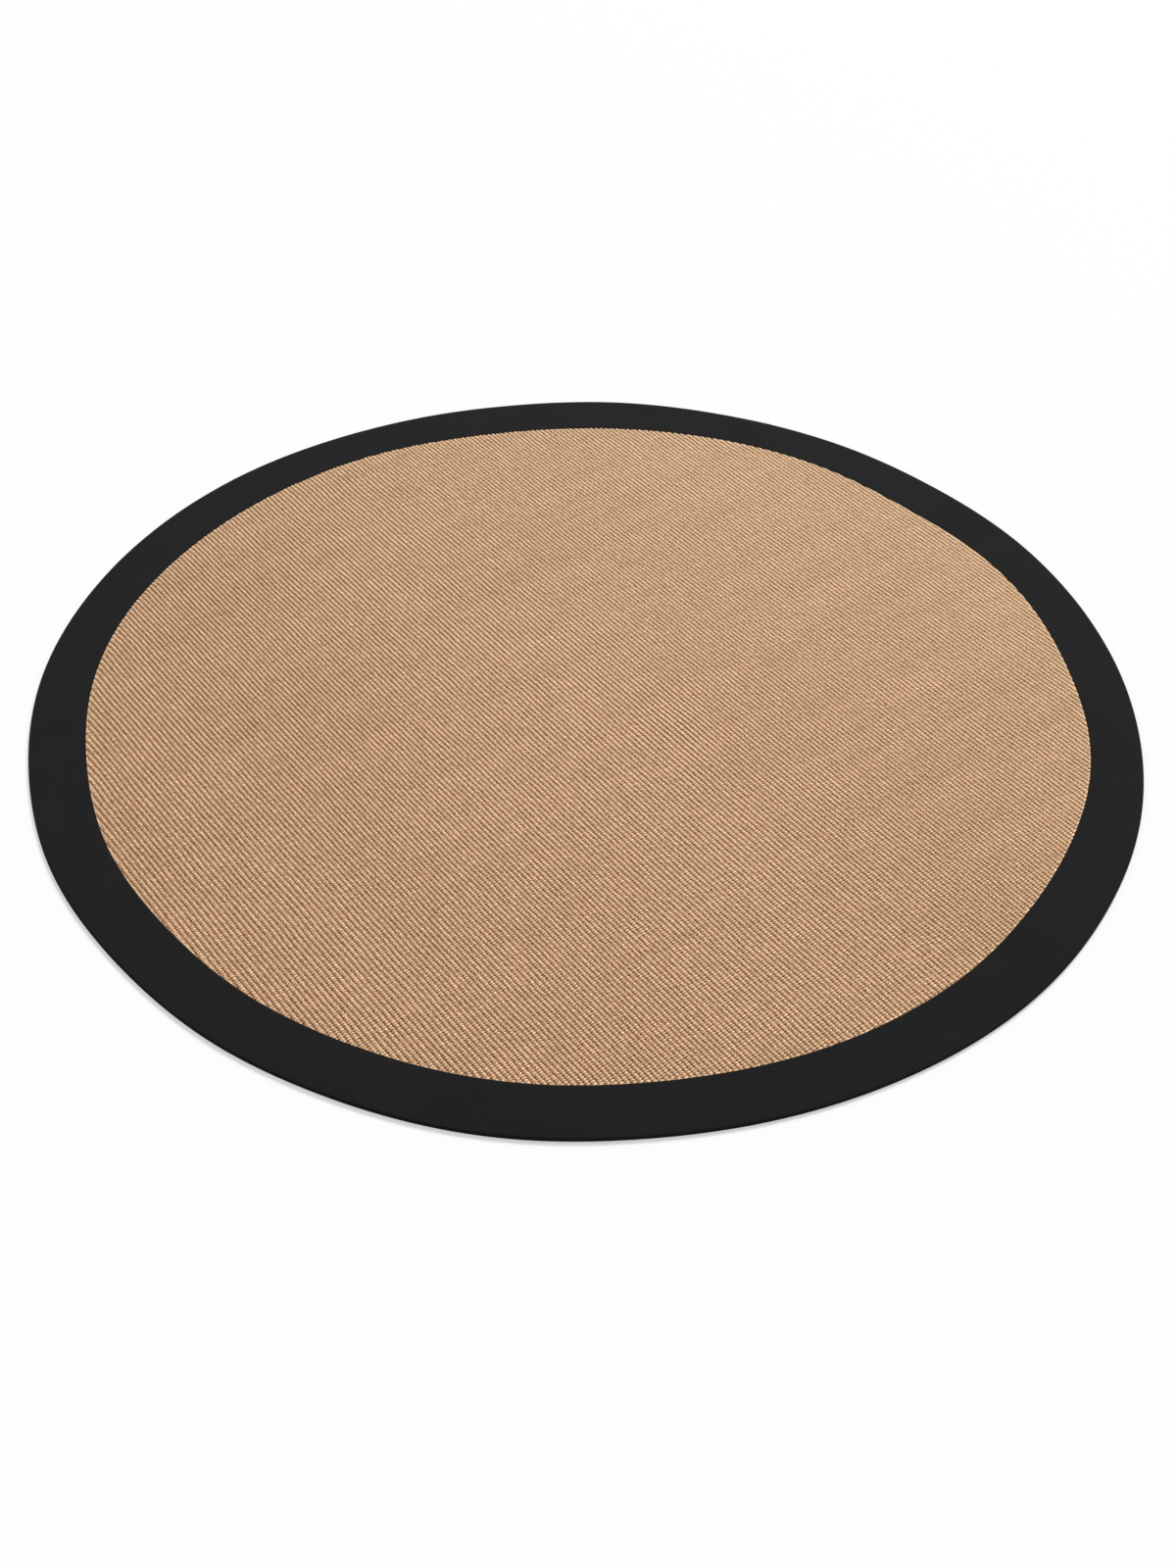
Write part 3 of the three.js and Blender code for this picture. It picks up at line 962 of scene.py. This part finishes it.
def tape_section():
    """Points of the tape's section, anticlockwise, and how many of them are on its outer skin."""
    fold = (FOLD_AXIS, FOLD_RADIUS)
    outer = [(UNDER_RADIUS + BEVEL_START, BEVEL_HEIGHT), (UNDER_RADIUS + BEVEL_END, 0)]
    outer += [(UNDER_RADIUS + NEXT_POINT_BELOW, 0)]
    outer += arc(fold, FOLD_RADIUS, -90, 90, OUTER_FOLD_STEPS)
    outer += [(FOLD_AXIS - row["inwards"], TAPE_TOP - row["sunk"]) for row in TAPE_CROWN]
    inner = [(SEAM_RADIUS + BEVEL_END, TAPE_BOTTOM), (SEAM_RADIUS + NEXT_POINT_INSIDE, TAPE_BOTTOM)]
    inner += arc(fold, FOLD_RADIUS - TAPE_THICKNESS, 90, -90, INNER_FOLD_STEPS)
    inner += [(UNDER_RADIUS + BEVEL_END, TAPE_THICKNESS)]
    inner += [(UNDER_RADIUS + BEVEL_START, TAPE_THICKNESS - BEVEL_HEIGHT)]
    return np.array(outer + inner, float), len(outer)


def cotton_tape(material):
    """The tape over the face, round the rim and back under."""
    profile, outer_count = tape_section()
    count = len(profile)
    angles = round_angles(TAPE_SECTORS)
    radius = pulled(profile[None, :, 0], angles[:, None])
    z = np.repeat(profile[None, :, 1], TAPE_SECTORS, 0)

    around = np.repeat(angles[:, None] * SEAM_RADIUS, count, 1)
    swell = soft_noise(around, radius, around.max() / SWELL["cells_round"], SWELL["across"])
    pucker = soft_noise(around, radius * 0, around.max() / PUCKER["cells_round"], 1.0)
    near_seam = np.clip(1 - (profile[None, :, 0] - SEAM_RADIUS) / PUCKER["across"], 0, 1)
    from_ends = np.minimum(angles, 2 * math.pi - angles)[:, None]
    share = np.minimum(1, from_ends * RISE_PER_RADIAN)
    on_face = (z > TAPE_BOTTOM + HEIGHT_SLACK) * (np.arange(count) < outer_count)[None, :]
    z = z + on_face * share * (SWELL["height"] * swell + PUCKER["height"] * pucker * near_seam)
    points = round_points(radius, angles, z).reshape(-1, 3)
    quads, sector, step = turned_faces(count, TAPE_SECTORS, closed=True)

    length = path_length(np.concatenate([profile, profile[:1]]))
    corner_sector = np.stack([sector, sector + 1, sector + 1, sector], -1)
    corner_length = length[np.stack([step, step, step + 1, step + 1], -1)]
    threads = round(2 * math.pi * RUG_RADIUS / THREAD_PITCH / 2) * 2
    thread_places = np.stack([corner_sector / TAPE_SECTORS * threads, corner_length / THREAD_PITCH], -1)
    sectors_per_fold = TAPE_SECTORS / TAPE_FOLDS
    fold = sector[:, None] // sectors_per_fold
    within = 1 - 2 * TAPE_MAP_MARGIN
    u = TAPE_MAP_MARGIN + within * (corner_sector - fold * sectors_per_fold) / sectors_per_fold
    v = (fold + TAPE_MAP_MARGIN + within * corner_length / length[-1]) / TAPE_FOLDS
    maps = {"threads": thread_places.reshape(-1, 2), "OFBake": np.stack([u, v], -1).reshape(-1, 2)}
    sizes = np.full(len(quads), 4)
    return new_piece("cotton_tape", points, quads.ravel(), sizes, maps, material, "black_cotton")


loops_look = sisal_material()
bands = rib_rows(loops_look)
ground = sisal_ground(ground_material())
back = latex_back(latex_material())
tape = cotton_tape(cotton_material())

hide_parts("sisal_field")
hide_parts("cotton_border")


# The studio: floor, light and camera

FLOOR_RADIUS = 40000.0
FLOOR_SIDES = 180
FLOOR_DROP = 0.1  # below the rug, so that the two don't share a plane

WORLD_LIGHT = 0.585
KEY_LIGHT = 3.835
KEY_SOFTNESS_DEG = 22
KEY_AZIMUTH_DEG = 26  # from +X towards +Y, as for the camera
KEY_ELEVATION_DEG = 43
LAMP_DISTANCE = 3  # in metres, which doesn't change a sun's light

# The camera stands as in the photograph: where it looks on the floor, from which side and how high, how
# far off, and how it is rolled, in metres and degrees. Its lens is the focal length in pixels over the
# photograph's long side.
LOOKS_AT = (-0.1019, -0.1381, 0.0)
CAMERA_AZIMUTH_DEG = -127.6
CAMERA_ELEVATION_DEG = 42.62
CAMERA_DISTANCE = 2.6097
CAMERA_ROLL_DEG = 1.164
FOCAL_PX = 2038
PHOTO_LONG_SIDE_PX = 1600
SENSOR_MM = 36.0
NEAREST_SEEN = 0.1
FARTHEST_SEEN = 50


def pale_floor():
    """A round floor, so large that its edge is a level horizon from every side."""
    angles = round_angles(FLOOR_SIDES)
    radius = np.full((FLOOR_SIDES, 1), FLOOR_RADIUS)
    height = np.full((FLOOR_SIDES, 1), -FLOOR_DROP)
    points = round_points(radius, angles, height).reshape(-1, 3)
    corners = np.arange(FLOOR_SIDES)
    floor = new_piece("floor", points, corners, [FLOOR_SIDES], {}, floor_material())


def way_from_rug(azimuth_deg, elevation_deg):
    azimuth = math.radians(azimuth_deg)
    elevation = math.radians(elevation_deg)
    return Vector((
        math.cos(azimuth) * math.cos(elevation),
        math.sin(azimuth) * math.cos(elevation),
        math.sin(elevation),
    ))


def set_up(name, data, place, turn):
    """An object of the lamp's or the camera's data at a place, turned by a quaternion."""
    stand = bpy.data.objects.new(name, data)
    stand.location = place
    stand.rotation_mode = "QUATERNION"
    stand.rotation_quaternion = turn
    bpy.context.scene.collection.objects.link(stand)
    return stand


def soft_light():
    world = bpy.data.worlds.new("studio")
    bpy.context.scene.world = world
    world.use_nodes = True
    background = world.node_tree.nodes["Background"]
    background.inputs["Color"].default_value = (1, 1, 1, 1)
    background.inputs["Strength"].default_value = WORLD_LIGHT
    key = bpy.data.lights.new("key", "SUN")
    key.energy = KEY_LIGHT
    key.angle = math.radians(KEY_SOFTNESS_DEG)
    way = way_from_rug(KEY_AZIMUTH_DEG, KEY_ELEVATION_DEG)
    set_up("key", key, way * LAMP_DISTANCE, way.to_track_quat("Z", "Y"))


def camera():
    data = bpy.data.cameras.new("camera")
    data.sensor_width = SENSOR_MM
    data.lens = FOCAL_PX / PHOTO_LONG_SIDE_PX * SENSOR_MM
    data.clip_start = NEAREST_SEEN
    data.clip_end = FARTHEST_SEEN
    way = way_from_rug(CAMERA_AZIMUTH_DEG, CAMERA_ELEVATION_DEG)
    roll = Quaternion((0, 0, 1), math.radians(CAMERA_ROLL_DEG))
    place = Vector(LOOKS_AT) + way * CAMERA_DISTANCE
    bpy.context.scene.camera = set_up("camera", data, place, (-way).to_track_quat("-Z", "Y") @ roll)


pale_floor()
soft_light()
camera()
bpy.context.scene.view_settings.view_transform = "Standard"
